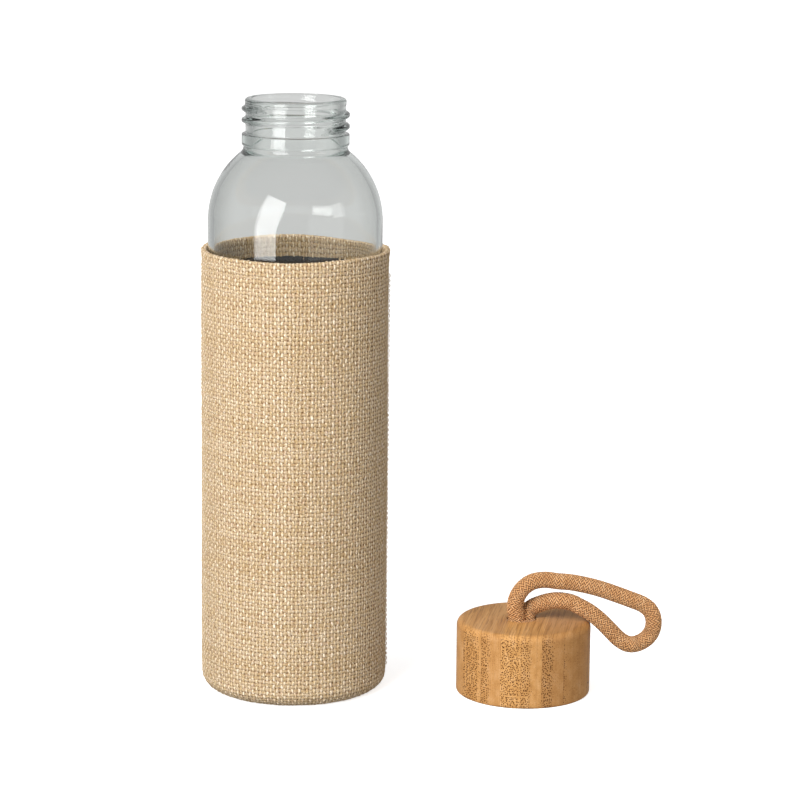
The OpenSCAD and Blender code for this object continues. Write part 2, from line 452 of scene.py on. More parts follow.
# ---------------------------------------------------------------- woven cloth
random = np.random.default_rng(7)
YARN_LIMITS = (0.5, 1.6)    # thinnest and thickest that a yarn gets, in its own thickness
TINY = 1e-6                 # keeps a mesh line off the border between two yarns
PROFILE_STEP = 0.2 * MM
STITCH_Z = SLEEVE_H - 6 * MM


def jitter(count, at, size):
    """Small uneven steps of each yarn from one crossing to the next, smooth between crossings."""
    knots = random.normal(size=(count, int(at[-1]) + 3)) * size
    knots[:, -2:] = knots[:, :2]
    return np.array([np.interp(at, np.arange(knots.shape[1]), row) for row in knots])


def wander(count, at, period, size):
    """Slow sideways drift of each of count yarns, at the given places along it."""
    total = np.zeros((count, len(at)))
    for wave in (1.0, 0.37, 0.17):
        phase = random.uniform(0, 2 * np.pi, (count, 1))
        turns = np.round(at[-1] / (period * wave)) / at[-1]
        total += wave * np.sin(2 * np.pi * at[None] * turns + phase)
    return total * size


def weave_height(u, v, warp_t, weft_t):
    """Height, in yarn thicknesses, of a plain weave at (u, v), which count yarns."""
    up = 0.61 * np.cos(np.pi * (v - 0.5) + np.pi * np.floor(u))
    flat = -0.37 * np.cos(np.pi * (u - 0.5) + np.pi * np.floor(v))
    warp = up + warp_t * np.sqrt(np.clip(1 - ((u % 1 - 0.5) / WARP_HALF) ** 2, 0, 1))
    weft = flat + weft_t * 0.9 * np.sqrt(np.clip(1 - ((v % 1 - 0.5) / WEFT_HALF) ** 2, 0, 1))
    return np.maximum(np.maximum(warp, weft), 0)


def sleeve_profile():
    """Outside of the sleeve from under its edge, up and over the top, and down inside the hem."""
    turn = CLOTH_T * 0.9
    return outline(
        (DISC_R, 0.15 * MM), arc(FOOT_R, EDGE_R, EDGE_R - 0.15 * MM, -90, 0, 16),
        arc(SLEEVE_R - 0.15 * MM - turn, SLEEVE_H - turn, turn, 0, 90, 6),
        arc(HEM_R + turn, SLEEVE_H - turn, turn, 90, 180, 6), (HEM_R, SLEEVE_H - HEM_H))


# The level yarn at the sleeve's upper edge, after which the cloth is turned in
HEM_ROW = round((lengths(sleeve_profile())[-1] - HEM_H) / ROW_PITCH)


def around(angle):
    """An angle round the sleeve, from -pi to pi, with 0 at the side seam."""
    return np.angle(np.exp(1j * angle))


def rim_wave(angle):
    """How far the loose rim stands off and up at an angle round the sleeve."""
    off = 0.30 * np.exp(-((around(angle) / 0.5) ** 2)) + 0.12 * np.sin(3 * angle + 1.0)
    up = 0.25 * np.sin(2 * angle + 2.2) + 0.18 * np.sin(5 * angle)
    return off * MM, up * MM


def at_lines(drift, yarn, before):
    """Each yarn's drift at its own mesh lines. A line between two yarns has the middle of theirs."""
    between = (np.arange(len(yarn)) % SAMPLES == 0)[:, None]
    return np.where(between, (drift[yarn] + drift[before]) / 2, drift[yarn])


def loose_yarns(u, v, wefts):
    """How far its yarns' drift draws each mesh point along u and along v, and its height in the weave."""
    round_u = np.append(u, WARPS)
    warp_drift = wander(WARPS, v, 38, 0.12) + jitter(WARPS, v, 0.09)
    weft_drift = (wander(wefts, round_u, 31, 0.13) + jitter(wefts, round_u, 0.09))[:, :-1]
    warp_of = np.arange(len(u)) // SAMPLES
    weft_of = np.minimum(np.arange(len(v)) // SAMPLES, wefts - 1)
    du = at_lines(warp_drift, warp_of, warp_of - 1).T
    dv = at_lines(weft_drift, weft_of, np.maximum(weft_of - 1, 0))
    dv[[0, -1]] = 0

    # Thick and thin places along each yarn
    warp_t = 1 + 0.15 * random.normal(size=(WARPS, 1)) + wander(WARPS, v, 9, 0.14)
    weft_t = 1 + 0.22 * random.normal(size=(wefts, 1)) + wander(wefts, round_u, 11, 0.16)[:, :-1]
    height = weave_height(
        u[None] + TINY, v[:, None] + TINY,
        np.clip(warp_t[warp_of].T, *YARN_LIMITS), np.clip(weft_t[weft_of], *YARN_LIMITS))
    return du, dv, height


def on_profile(profile, place):
    """Radius and height at places along the profile, and the direction straight out of it there."""
    line_s = lengths(profile)

    def read(at):
        return np.stack([np.interp(at, line_s, profile[:, k]) for k in (0, 1)])

    slope_r, slope_z = read(place + PROFILE_STEP) - read(place - PROFILE_STEP)
    size = np.hypot(slope_r, slope_z) + 1e-12
    return *read(place), slope_z / size, -slope_r / size


def woven_sleeve():
    """The cover, with every yarn of its weave in the mesh, and its plain back."""
    profile = sleeve_profile()
    total = lengths(profile)[-1]
    wefts = int(round(total / ROW_PITCH))
    v = np.arange(wefts * SAMPLES + 1) / SAMPLES
    u = np.arange(WARPS * SAMPLES) / SAMPLES
    du, dv, height = loose_yarns(u, v, wefts)
    place = np.clip((v[:, None] + dv) * total / wefts, 0, total)
    angle = 2 * np.pi * (u[None] + du) / WARPS
    radius, level, out_r, out_z = on_profile(profile, place)

    # The hem's row of stitches draws the cloth in, and so does the side seam
    outside = place < total - HEM_H - 2 * MM
    groove = 0.28 * MM * np.exp(-((level - STITCH_Z) / (0.7 * MM)) ** 2) * outside
    seam = around(angle) * SLEEVE_R
    groove = groove + 0.25 * MM * np.exp(-(seam / (0.8 * MM)) ** 2) * outside
    relief = (height - 0.9) * 0.32 * MM - groove
    # The cloth lies a little unevenly over the foam, and stands off it at the rim
    swell = 0.10 * MM * np.sin(2 * angle + 0.8 + level * 22) + 0.07 * MM * np.sin(5 * angle - level * 60)
    swell = swell * np.clip(level / (12 * MM), 0, 1) * outside
    off, up = rim_wave(angle)
    near_rim = np.clip((level - (SLEEVE_H - 9 * MM)) / (9 * MM), 0, 1) ** 2
    # The hem's cut edge inside is uneven, and highest a little way round from the side seam
    inner_hem = ~outside & (out_r < -0.5)
    raised = np.exp(-(around(angle - math.radians(38)) / math.radians(19)) ** 2)
    ragged = (2.8 * raised - 2.2 + 0.2 * np.sin(9 * angle)) * MM
    down = np.clip((SLEEVE_H - level) / HEM_H, 0, 1) * inner_hem
    radius = radius + out_r * relief + swell + np.clip(off, 0, 1) * near_rim
    level = level + out_z * relief + up * near_rim + ragged * down
    radius = np.maximum(radius, np.where(inner_hem, SLEEVE_BORE_R - 0.05 * MM, 0))
    level = np.maximum(level, 0)
    points = np.stack([radius * np.cos(angle), radius * np.sin(angle), level], -1)

    # The plain back of the cloth closes the piece, behind the relief
    back_r, back_top = SLEEVE_BORE_R + CLOTH_T * 0.9, SLEEVE_H - 1.2 * MM
    back = outline(
        (back_r, SLEEVE_H - HEM_H), (back_r, back_top), (LINING_R + 0.05 * MM, back_top),
        arc(FOOT_R, EDGE_R, EDGE_R - 0.65 * MM, 0, -90, 8), (DISC_R, 0.65 * MM))
    turn = 2 * np.pi * u / WARPS
    back_points = np.stack([
        back[:, :1] * np.cos(turn), back[:, :1] * np.sin(turn), np.repeat(back[:, 1:], len(u), 1)], -1)
    v_back = wefts + lengths(back) / ROW_PITCH
    return surface(
        "woven_sleeve", np.concatenate([points, back_points]), np.arange(len(u) + 1) / SAMPLES,
        np.concatenate([v, v_back, v_back[-1:] + 1]), close_v=True)


def cloth_material():
    """Plain weave of loose jute-like yarn. The texture coordinates count upright and level yarns."""
    t = Tree("woven_cloth")
    u, v, _ = t.uv()
    i, j = t.math("FLOOR", u), t.math("FLOOR", v)
    side_u, side_v = (t.minus(t.math("FRACT", x), 0.5) for x in (u, v))
    # Towards the side seam the yarns are drawn narrower, so that more of the painted shade between them
    # shows, and their tint shifts a little
    from_seam = t.math("MINIMUM", u, t.minus(float(WARPS), u))
    near_seam = t.step(from_seam, 30.0, 12.0)

    def yarn(number, side, along, half, seed):
        """One yarn's edge mask, tint, loose fibres and roundness, from the place across and along it."""
        swell = t.noise(t.vector(t.times(number, 7.3), t.times(along, 0.7), seed))
        width = t.minus(t.add(t.times(swell, 0.2), half - 0.10), t.times(near_seam, 0.11))
        inside = t.minus(width, t.size(side))
        twist = t.add(t.times(side, 3.2), t.times(along, 0.9))
        at = t.vector(twist, t.times(along, 2.1), t.add(t.times(number, 3.7), seed))
        fibre = t.noise(at, 1.0, 4.0, 0.8)
        own = t.random(t.vector(number, seed, 3.0))
        drift = t.noise(t.vector(t.times(number, 5.3), t.times(along, 0.5), seed + 4.0), 1.0, 3.0)
        tint = t.add(t.add(t.times(own, 0.05), t.times(drift, 0.09)), t.times(fibre, 0.86))
        tint = t.add(tint, t.times(near_seam, 0.03))
        return t.step(inside, -0.02, 0.05), tint, fibre, t.step(inside, 0.0, 0.26)

    warp, warp_tint, warp_fibre, warp_round = yarn(i, side_u, v, WARP_HALF, 1.0)
    weft, weft_tint, weft_fibre, weft_round = yarn(j, side_v, u, WEFT_HALF, 6.0)
    upright = t.math("LESS_THAN", t.math("FLOORED_MODULO", t.add(i, j), 2.0), 0.5)
    # The upright yarn shows where it crosses on top, and beside the level yarn where it passes below
    shows = t.times(warp, t.opposite(t.times(weft, t.opposite(upright))))
    hole = t.times(t.opposite(warp), t.opposite(weft))
    corner = t.times(t.step(t.size(side_u), 0.30, 0.46), t.step(t.size(side_v), 0.30, 0.46))

    def chosen(a, b):
        return t.add(t.times(shows, a), t.times(t.opposite(shows), b))

    crown_u = t.math("COSINE", t.times(t.add(t.minus(v, 0.5), i), math.pi))
    crown_v = t.math("COSINE", t.times(t.add(t.minus(u, 0.5), t.add(j, 1.0)), math.pi))
    crown = chosen(crown_u, crown_v)
    color = t.ramp(
        chosen(warp_tint, weft_tint), (0.37, (0.34, 0.215, 0.095)), (0.445, (0.56, 0.405, 0.215)),
        (0.50, (0.74, 0.575, 0.365)), (0.555, (0.88, 0.745, 0.555)), (0.64, (0.98, 0.910, 0.800)))
    pink = t.noise(t.vector(t.times(u, 0.8), t.times(v, 0.8), 9.0))
    color = t.mix(t.times(t.step(pink, 0.50, 0.70), 0.4), color, (0.54, 0.335, 0.245))
    color = t.mix(t.times(near_seam, 0.18), color, (0.58, 0.400, 0.170))
    yellow = t.noise(t.vector(t.times(u, 0.5), t.times(v, 0.4), 4.0), 1.0, 3.0)
    color = t.mix(t.times(t.step(yellow, 0.50, 0.66), 0.26), color, (0.60, 0.410, 0.160))
    # Painted shade on the level yarns, which lie lower than the upright ones
    color = t.mix(t.times(t.opposite(shows), 0.50), color, (0.32, 0.200, 0.095))
    # Painted shade where a yarn dips below another, at its edges, in the corners and gaps between yarns, and
    # in the turned-in hem inside the sleeve
    dips = t.step(crown, 0.35, -0.65)
    color = t.mix(chosen(t.times(dips, 0.58), t.times(dips, 0.70)), color, (0.20, 0.100, 0.032))
    edge = t.opposite(chosen(warp_round, t.math("MAXIMUM", weft_round, 0.75)))
    color = t.mix(t.times(edge, 0.70), color, (0.19, 0.094, 0.030))
    color = t.mix(t.times(corner, 0.86), color, (0.13, 0.058, 0.018))
    turned_in_shade = t.step(v, HEM_ROW - 0.5, HEM_ROW + 0.5)
    color = t.mix(t.times(turned_in_shade, 0.42), color, (0.10, 0.060, 0.012))
    color = t.mix(t.times(hole, 0.85), color, (0.12, 0.066, 0.028))
    roundness = chosen(warp_round, t.times(weft_round, 0.4))
    height = t.add(t.times(chosen(warp_fibre, weft_fibre), 1.5), roundness)
    t.bump(t.minus(height, hole), 0.26 * MM, 0.8)
    return t.finish(color, 0.9, Sheen_Weight=0.04, Sheen_Roughness=0.6, Specular_IOR_Level=0.15)


cloth = cloth_material()
sleeve = woven_sleeve()
dress(sleeve, cloth, "sleeve", "woven_cloth", "sleeve_shell")


def woven_disc():
    """The disc under the sleeve, cut from the same cloth, with the same weave in its mesh."""
    pitch = 1.42 * MM
    half = int(DISC_R / pitch) + 1
    lines = np.arange(-half * 2, half * 2 + 1) / 2
    grid_x, grid_y = np.meshgrid(lines, lines)
    height = weave_height(grid_x + TINY, grid_y + TINY, np.ones_like(grid_x), np.ones_like(grid_x))
    uv_middle = WARPS // 2    # the yarns' numbers at its middle, far from the side seam's
    b = bmesh.new()
    layer = b.loops.layers.uv.new("uv")
    made = {}
    for r in range(len(lines)):
        for c in range(len(lines)):
            x, y = grid_x[r, c] * pitch, grid_y[r, c] * pitch
            far = math.hypot(x, y)
            if far > DISC_R:
                x, y = x * DISC_R / far, y * DISC_R / far
            if far < DISC_R + pitch * 0.75:
                made[r, c] = b.verts.new((x, y, max(0.0, 0.30 * MM - height[r, c] * 0.16 * MM)))
    for r in range(len(lines) - 1):
        for c in range(len(lines) - 1):
            keys = ((r, c), (r, c + 1), (r + 1, c + 1), (r + 1, c))
            if all(k in made for k in keys):
                face = b.faces.new([made[k] for k in keys])
                face.smooth = True
                for loop, (kr, kc) in zip(face.loops, keys):
                    loop[layer].uv = (grid_x[kr, kc] + uv_middle, grid_y[kr, kc] + uv_middle)
    bmesh.ops.solidify(b, geom=b.faces[:], thickness=-0.25 * MM)
    mesh = bpy.data.meshes.new("woven_base")
    b.to_mesh(mesh)
    b.free()
    return finish_mesh("woven_base", mesh, 1e-6)


base_disc = woven_disc()
dress(base_disc, cloth, "sleeve", "woven_cloth", "sleeve_base")


# ---------------------------------------------------------------- foam lining
def lining_material():
    t = Tree("foam_lining")
    at = t.position()
    knit = t.cells(at, 1500.0)
    fluff = t.noise(at, 900.0, 3.0, 0.6)
    color = t.ramp(fluff, (0.3, (0.005, 0.004, 0.004)), (0.7, (0.018, 0.015, 0.013)))
    t.bump(t.add(knit[0], fluff), 0.15 * MM, 0.6)
    return t.finish(color, 0.75, Sheen_Weight=0.2, Sheen_Roughness=0.5)


lining_finish = lining_material()
LINING_OUT = LINING_R - 0.15 * MM
LINING_TOP = SLEEVE_H - 1.6 * MM
BEHIND_HEM = SLEEVE_BORE_R + CLOTH_T + 0.1 * MM
lining_profile = outline(
    arc(FOOT_R, EDGE_R, LINING_OUT - FOOT_R, -90, 0), (LINING_OUT, SLEEVE_H - HEM_H),
    (LINING_OUT, LINING_TOP), (BEHIND_HEM, LINING_TOP), (BEHIND_HEM, SLEEVE_H - HEM_H + 0.8 * MM),
    (SLEEVE_BORE_R, SLEEVE_H - HEM_H - 0.5 * MM), arc(FOOT_R, EDGE_R, SLEEVE_BORE_R - FOOT_R, 0, -90))
lining = revolve("foam_sleeve_lining", lining_profile)
dress(lining, lining_finish, "sleeve", "foam_lining", "sleeve_lining")
pad_low, pad_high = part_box("base_pad")
pad_profile = outline(
    (0, pad_low.z), (pad_high.x - 0.3 * MM, pad_low.z), (pad_high.x, pad_low.z + 0.3 * MM),
    (pad_high.x, pad_high.z - 0.4 * MM), (pad_high.x - 0.4 * MM, pad_high.z), (0, pad_high.z))
pad = revolve("foam_base_pad", pad_profile, 96)
dress(pad, lining_finish, "sleeve", "foam_lining", "base_pad")


# ---------------------------------------------------------------- stitches
def thread_material():
    t = Tree("sewing_thread")
    u, v, _ = t.uv()
    twist = t.math("SINE", t.times(t.add(t.times(u, 2.0), t.times(v, 9.0)), 2 * math.pi))
    fluff = t.noise(t.position(), 2500.0, 3.0, 0.6)
    shade = t.add(t.times(twist, 0.25), fluff)
    color = t.ramp(shade, (0.2, (0.36, 0.24, 0.12)), (0.8, (0.72, 0.56, 0.36)))
    t.bump(shade, 0.1 * MM, 0.7)
    return t.finish(color, 0.85, Sheen_Weight=0.2, Specular_IOR_Level=0.25)


def stitch_line(angle, level, reach, lean, lift, rows):
    """One stitch's centreline, which rises out of the cloth and dips back in, and two vectors across it."""
    t = np.linspace(-0.5, 0.5, rows)
    rise = lift - (2 * t) ** 2 * (lift + 0.55 * MM)
    radial = np.array([math.cos(angle), math.sin(angle), 0])
    tangent = np.array([-math.sin(angle), math.cos(angle), 0])
    up = np.array([0, 0, 1.0])
    line = (SLEEVE_R - 0.1 * MM + rise)[:, None] * radial + (t * reach * math.cos(lean))[:, None] * tangent
    line = line + (level + t * reach * math.sin(lean))[:, None] * up
    return line, *cross_frames(line, -radial)


def stitch_row(name, places, length, thickness, lift, slant=0.0, columns=8, rows=9):
    """Stitches at (angle, height) places on the sleeve, each a little different from the next."""
    verts, faces, uvs = [], [], []
    ring = full_turn(columns)
    for k, (angle, level) in enumerate(places):
        lean = slant * (1 + 0.35 * math.sin(k * 2.4))
        reach = length * (1 + 0.18 * math.sin(k * 1.7))
        line, one, two = stitch_line(angle, level, reach, lean, lift, rows)
        start = len(verts)
        for p, x, y in zip(line, one, two):
            verts += [tuple(p + thickness / 2 * (math.cos(a) * x + math.sin(a) * y)) for a in ring]
        for r in range(rows - 1):
            first = start + r * columns
            for c in range(columns):
                d = (c + 1) % columns
                faces.append((first + c, first + d, first + columns + d, first + columns + c))
                uvs += [(c / columns, r / rows), ((c + 1) / columns, r / rows),
                        ((c + 1) / columns, (r + 1) / rows), (c / columns, (r + 1) / rows)]
        for r, ring_faces in ((0, range(columns - 1, -1, -1)), (rows - 1, range(columns))):
            faces.append([start + r * columns + c for c in ring_faces])
            uvs += [(0.5, 0.5)] * columns
    mesh = bpy.data.meshes.new(name)
    mesh.from_pydata(verts, [], faces)
    mesh.uv_layers.new(name="uv").data.foreach_set("uv", np.array(uvs, np.float32).ravel())
    mesh.polygons.foreach_set("use_smooth", [True] * len(mesh.polygons))
    return finish_mesh(name, mesh)


HEM_STITCHES, SEAM_STITCHES = 72, 80
SEAM_LOW_Z, SEAM_PITCH = 8 * MM, 1.9 * MM
thread_finish = thread_material()
hem_places = [(2 * math.pi * k / HEM_STITCHES, STITCH_Z) for k in range(HEM_STITCHES)]
hem = stitch_row("hem_stitch_row", hem_places, 2.3 * MM, 0.4 * MM, 0.05 * MM)
dress(hem, thread_finish, "sleeve", "thread", "hem_stitches")
seam_places = [(0.0, SEAM_LOW_Z + k * SEAM_PITCH) for k in range(SEAM_STITCHES)]
seam_row = stitch_row("side_seam_overcast", seam_places, 2.4 * MM, 0.40 * MM, 0.50 * MM, slant=0.6)
dress(seam_row, thread_finish, "sleeve", "thread", "side_seam")


# ---------------------------------------------------------------- glass
RUN_OUT = 0.10    # of a turn, over which each end of a thread runs out


def ridge_height(angle, level, low_z, turns, root_w, crest_w):
    """Height, 0 to 1, of a right-hand screw ridge at an angle and a level."""
    height = np.zeros_like(angle)
    for k in range(int(turns) + 2):
        turn = (angle - THREAD_LOW_ANGLE) % (2 * np.pi) / (2 * np.pi) + k
        away = np.abs(level - (low_z + THREAD_PITCH * turn))
        slope = 1 - np.clip((away - crest_w / 2) / ((root_w - crest_w) / 2), 0, 1)
        run_out = np.clip(np.minimum(turn, turns - turn) / RUN_OUT, 0, 1)
        height = np.maximum(height, ease(slope) * ease(run_out))
    return height


def neck_fillet(ball_r, neck_r, fillet_r):
    """The hollow curve from a round shoulder into a neck, and the angle where it leaves the shoulder."""
    out = neck_r + fillet_r
    up = math.sqrt((ball_r + fillet_r) ** 2 - out ** 2)
    leave = math.degrees(math.atan2(up, out))
    return arc(out, SHOULDER_Z + up, fillet_r, leave - 180, -180, 10), leave


def glass_profile():
    """The glass from the middle of its underside, up the outside, over the lip and down inside."""
    inner_r = GLASS_R - GLASS_WALL
    heel_r, heel_z = 7 * MM, FOOT_Z + 7 * MM
    ring_r, punt = 22 * MM, 3 * MM    # the ring it stands on, and how far the middle is pushed up
    dome_r = (ring_r ** 2 + punt ** 2) / (2 * punt)
    dome_a = math.degrees(math.asin(ring_r / dome_r))
    inner_heel_r, inner_heel_z = 5 * MM, FOOT_Z + 10 * MM
    inner_foot_z = FOOT_Z + 6.5 * MM
    collar_r, bead_top = NECK_R + 0.75 * MM, BEAD_Z + BEAD_H
    outer_fillet, outer_leave = neck_fillet(GLASS_R, collar_r, 3.2 * MM)
    inner_fillet, inner_leave = neck_fillet(inner_r, MOUTH_R, 2.4 * MM)
    bead_low_r, bead_high_r, root_r = 0.8 * MM, 0.35 * MM, 0.5 * MM
    bead = outline(
        (collar_r, BEAD_Z - 0.15 * MM),
        arc(THREAD_R - 0.05 * MM - bead_low_r, BEAD_Z + bead_low_r, bead_low_r, -75, 0, 6),
        arc(THREAD_R - 0.05 * MM - bead_high_r, bead_top - bead_high_r, bead_high_r, 0, 90, 5),
        arc(NECK_R + root_r, bead_top + root_r, root_r, -90, -180, 5))
    lip_out_r, lip_in_r = 1.15 * MM, 0.95 * MM
    return outline(
        arc(0, FOOT_Z + punt - dome_r, dome_r, 90, 90 - dome_a, 12),
        arc(GLASS_R - heel_r, heel_z, heel_r, -90, 0, 12),
        upright(GLASS_R, heel_z, SHOULDER_Z, 40)[1:-1],
        arc(0, SHOULDER_Z, GLASS_R, 0, outer_leave, 48)[:-1], outer_fillet, bead,
        upright(NECK_R, bead_top + 0.6 * MM, LIP_Z - 2.6 * MM, 48),
        (NECK_R + 0.2 * MM, LIP_Z - 2 * MM),
        arc(NECK_R + 0.25 * MM - lip_out_r, LIP_Z - lip_out_r, lip_out_r, 0, 90, 8),
        arc(MOUTH_R + lip_in_r, LIP_Z - lip_in_r, lip_in_r, 90, 180, 8),
        upright(MOUTH_R, LIP_Z - 1.6 * MM, inner_fillet[-1, 1] + 0.5 * MM, 24), inner_fillet[::-1],
        arc(0, SHOULDER_Z, inner_r, inner_leave, 0, 48)[1:],
        upright(inner_r, SHOULDER_Z, inner_heel_z, 40)[1:-1],
        arc(inner_r - inner_heel_r, inner_heel_z, inner_heel_r, 0, -90, 10),
        (0, inner_foot_z))


def glass_shift(radius, level, angle):
    """Adds the screw thread to the neck, and the slight waves of pressed glass."""
    on_neck = (np.abs(radius - NECK_R) < 0.1 * MM) & (level > BEAD_Z + BEAD_H + 0.5 * MM)
    thread = ridge_height(angle, level, THREAD_LOW_Z, THREAD_TURNS, 3.3 * MM, 0.7 * MM)
    radius = radius + np.where(on_neck, (THREAD_R - NECK_R) * thread, 0)
    # The last two fifths of the outline's points are its inside, from the lip's inner rounding down
    inside = (np.arange(len(radius)) >= len(radius) * 3 // 5)[:, None]
    wave = 0.05 * MM * np.sin(2 * angle + level * 90) + 0.035 * MM * np.sin(3 * angle - level * 210 + 1)
    wave = wave + 0.02 * MM * np.sin(level * 700 + np.sin(angle * 2))
    return radius + np.where(inside & (radius > 5 * MM), wave, 0), level


def glass_material():
    t = Tree("clear_glass")
    haze = t.noise(t.position(), 60.0, 3.0, 0.6)
    rough = t.ramp(haze, (0.45, 0.0), (0.8, 0.03))
    t.bump(t.noise(t.position(), 120.0), 0.05 * MM, 0.15)
    # Thick glass, seen edge on, is greener
    depth = t.node("ShaderNodeVolumeAbsorption")
    t.fix(depth, Color=(0.35, 0.90, 0.72, 1), Density=14.0)
    output = next(n for n in t.nodes if n.type == "OUTPUT_MATERIAL")
    t.links.new(depth.outputs[0], output.inputs["Volume"])
    return t.finish((0.985, 0.98, 0.975), rough, Transmission_Weight=1.0, IOR=1.5)


glass = revolve("glass_body", glass_profile(), 192, shift=glass_shift)
dress(glass, glass_material(), "bottle", "glass", "glass_bottle")
glass.visible_shadow = glass.visible_diffuse = False


# ---------------------------------------------------------------- bamboo cap
GRAIN_TURN = math.radians(8.7)   # the fibres run this far clockwise of +Y
STRIP_W, STRIP_AT = 7.7 * MM, 2.0 * MM
# The strips from left to right: how dark each is, and how far across it the dark bundles reach
STRIP_TONES = (0.45, 0.30, 0.45, 0.0, 0.30, 0.75, 0.72, 0.60)
STRIP_DOTS = (0.05, 0.92, 0.45, 1.0, 0.50, 0.55, 0.10, 0.06)


def bamboo_material():
    t = Tree("laminated_bamboo")
    x, y, z = t.split(t.position())
    x, y = t.minus(x, CAP.x), t.minus(y, CAP.y)
    across = t.minus(t.times(x, math.cos(GRAIN_TURN)), t.times(y, math.sin(GRAIN_TURN)))
    along = t.add(t.times(x, math.sin(GRAIN_TURN)), t.times(y, math.cos(GRAIN_TURN)))
    strips = t.times(t.minus(across, STRIP_AT), 1 / STRIP_W)
    strip, place = t.math("FLOOR", strips), t.math("FRACT", strips)
    count = len(STRIP_TONES)
    choice = t.times(t.add(strip, count / 2 + 0.5), 1 / count)

    def of_strip(values):
        stops = [((k + 0.02) / count, value) for k, value in enumerate(values)]
        return t.ramp(choice, *stops, mode="CONSTANT")

    tone, reach = of_strip(STRIP_TONES), of_strip(STRIP_DOTS)
    shift = t.times(strip, 17.3)
    # Fibre bundles run along the grain: dark dots on the end grain and fine lines where cut along
    waver = t.times(t.noise(t.vector(t.times(along, 60.0), strip, 2.0)), 0.7)
    dots_at = t.add(t.add(t.times(across, 1330.0), shift), waver)
    dots = t.cells(t.vector(dots_at, t.times(z, 1230.0)), flat=True)
    near, kind = dots["Distance"], t.split(dots["Color"])[0]
    # Bundles crowd towards the side of each strip that was the outside of the cane
    patchy = t.noise(t.vector(t.add(t.times(across, 150.0), shift), t.times(z, 110.0), 0.0))
    within = t.add(t.minus(reach, place), t.times(t.minus(patchy, 0.5), 0.35))
    crowd = t.step(within, -0.12, 0.16)
    wanted = t.math("LESS_THAN", kind, t.add(t.times(crowd, 0.78), 0.20))
    size = t.add(t.times(crowd, 0.07), t.add(t.times(kind, 0.06), 0.18))
    dot = t.times(t.step(t.minus(near, size), 0.06, -0.06), wanted)
    dot = t.times(dot, t.add(t.times(crowd, 0.65), 0.35))
    # Cut along, a bundle is a faint line
    faces_up = t.size(t.split(t.node("ShaderNodeNewGeometry").outputs["Normal"])[2])
    dot = t.times(dot, t.opposite(t.times(faces_up, 0.85)))
    fine_at = t.vector(t.times(across, 3200.0), t.times(z, 2600.0), t.add(t.times(along, 90.0), shift))
    fine = t.noise(fine_at, 1.0, 3.0)
    broad_at = t.vector(t.times(across, 420.0), t.times(z, 200.0), t.add(t.times(along, 30.0), shift))
    broad = t.noise(broad_at)
    color = t.ramp(t.add(t.times(broad, 0.5), t.times(fine, 0.5)),
                   (0.30, (0.38, 0.178, 0.056)), (0.5, (0.55, 0.284, 0.094)), (0.70, (0.66, 0.385, 0.175)))
    color = t.mix(t.times(tone, 0.60), color, (0.28, 0.125, 0.045))
    streak_at = t.vector(t.add(t.times(across, 1500.0), shift), t.times(along, 55.0), 7.0)
    streak = t.noise(streak_at, 1.0, 3.0, 0.6)
    streak = t.times(t.step(streak, 0.52, 0.62), t.add(t.times(faces_up, 0.42), 0.12))
    color = t.mix(streak, color, (0.20, 0.085, 0.024))
    color = t.mix(t.times(dot, 0.94), color, (0.060, 0.018, 0.005))
    glue = t.step(t.size(t.minus(place, 0.5)), 0.485, 0.497)
    color = t.mix(t.times(glue, 0.35), color, (0.16, 0.06, 0.015))
    rough = t.ramp(fine, (0.3, 0.42), (0.7, 0.56))
    t.bump(t.minus(fine, t.times(dot, 1.5)), 0.06 * MM, 0.5)
    return t.finish(color, rough, Specular_IOR_Level=0.12)


def cap_profile():
    """From the foot of the bore out, up the side, over the top and down the rope's hole to the recess."""
    top = np.linspace(CAP_R - CAP_TOP_R, ROPE_HOLE_R + HOLE_RIM, 16)[1:]
    return outline(
        (LINER_R, 0.5 * MM), (LINER_R + 0.5 * MM, 0), (CAP_R - CAP_FOOT_R, 0),
        arc(CAP_R - CAP_FOOT_R, CAP_FOOT_R, CAP_FOOT_R, -90, 0, 6),
        upright(CAP_R, CAP_FOOT_R, CAP_H - CAP_TOP_R, 26)[1:-1],
        arc(CAP_R - CAP_TOP_R, CAP_H - CAP_TOP_R, CAP_TOP_R, 0, 90, 14),
        np.stack([top, np.full(len(top), CAP_H)], 1),
        arc(ROPE_HOLE_R + HOLE_ROUND, CAP_H - HOLE_ROUND, HOLE_ROUND, 90, 180, 5),
        upright(ROPE_HOLE_R, CAP_H - 2 * HOLE_ROUND, RECESS_Z, 5), (LINER_R, RECESS_Z))


def cap_shift_hole(obj):
    """Moves the rope's hole off the cap's axis, together with the surfaces close to it."""
    for vertex in obj.data.vertices:
        far = math.hypot(vertex.co.x - CAP.x, vertex.co.y - CAP.y)
        near = min(1, max(0, (CAP_R - CAP_TOP_R - far) / (CAP_R - CAP_TOP_R - ROPE_HOLE_R - HOLE_RIM)))
        if vertex.co.z > RECESS_Z - 1 * MM:
            vertex.co.x += ROPE_HOLE_X * near


bamboo = bamboo_material()
cap = revolve("bamboo_cap", cap_profile(), 192, centre=(CAP.x, CAP.y))
cap_shift_hole(cap)
dress(cap, bamboo, "cap", "bamboo", "cap_shell")


# ---------------------------------------------------------------- liner, seal and knot
def plastic_material(name, color, rough):
    t = Tree(name)
    speck = t.noise(t.position(), 700.0, 3.0, 0.6)
    t.bump(speck, 0.03 * MM, 0.4)
    darker = tuple(c * 0.94 for c in color)
    return t.finish(
        t.ramp(speck, (0.35, darker), (0.65, color)), t.ramp(speck, (0.3, rough), (0.7, rough + 0.1)),
        Subsurface_Weight=0.1, Subsurface_Scale=0.002)


def liner_shift(radius, level, angle):
    """Adds the inner screw thread to the liner's bore."""
    on_bore = (np.abs(radius - LINER_BORE_R) < 0.1 * MM) & (level < LINER_CEILING_Z - 0.5 * MM)
    thread = ridge_height(angle, level, 3.2 * MM, 1.25, 3 * MM, 0.8 * MM)
    return radius - np.where(on_bore, 1.4 * MM * thread, 0), level


